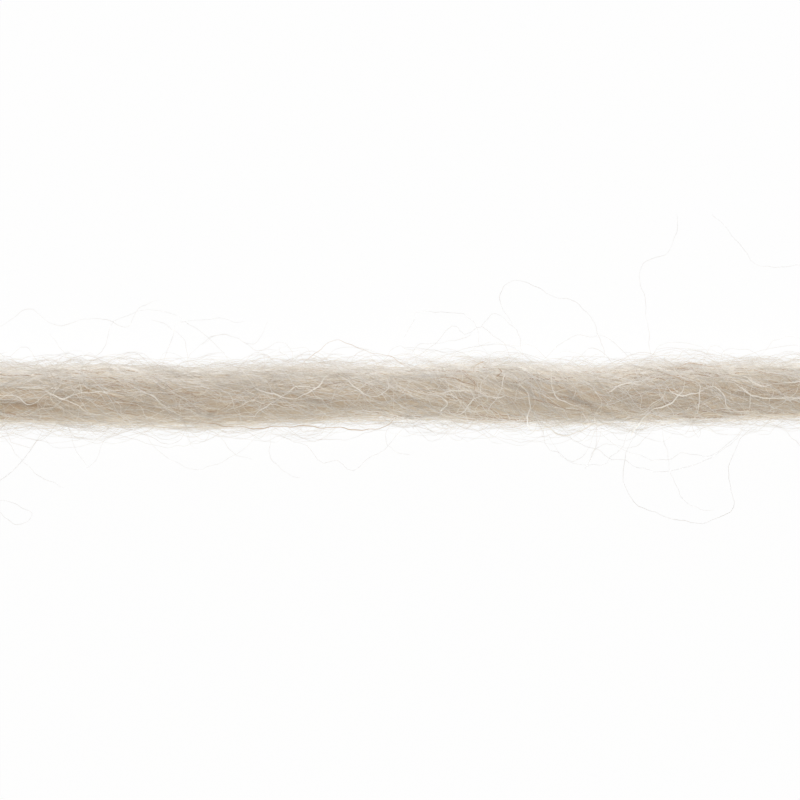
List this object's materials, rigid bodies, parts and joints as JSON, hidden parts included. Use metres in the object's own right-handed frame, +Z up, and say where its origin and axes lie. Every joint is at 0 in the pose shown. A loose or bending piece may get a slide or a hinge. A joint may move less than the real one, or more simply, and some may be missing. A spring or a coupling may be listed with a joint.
{
  "type": "strand of knitting yarn",
  "caption": "Cut length of loosely spun undyed wool knitting yarn, a soft single ply with a low twist and a halo of stray fibres, lying straight on a flat surface",
  "frame": {"origin": "middle of the underside, on the surface that the strand lies on", "axes": "+X along the strand, +Y across it, +Z up from the surface"},
  "size_m": [0.05, 0.0036, 0.0032],
  "materials": {
    "wool": "undyed warm beige wool, matt and hairy, cream and tan fibres mixed"
  },
  "bodies": {
    "root": {"yarn_strand": "wool"}
  },
  "joints": []
}
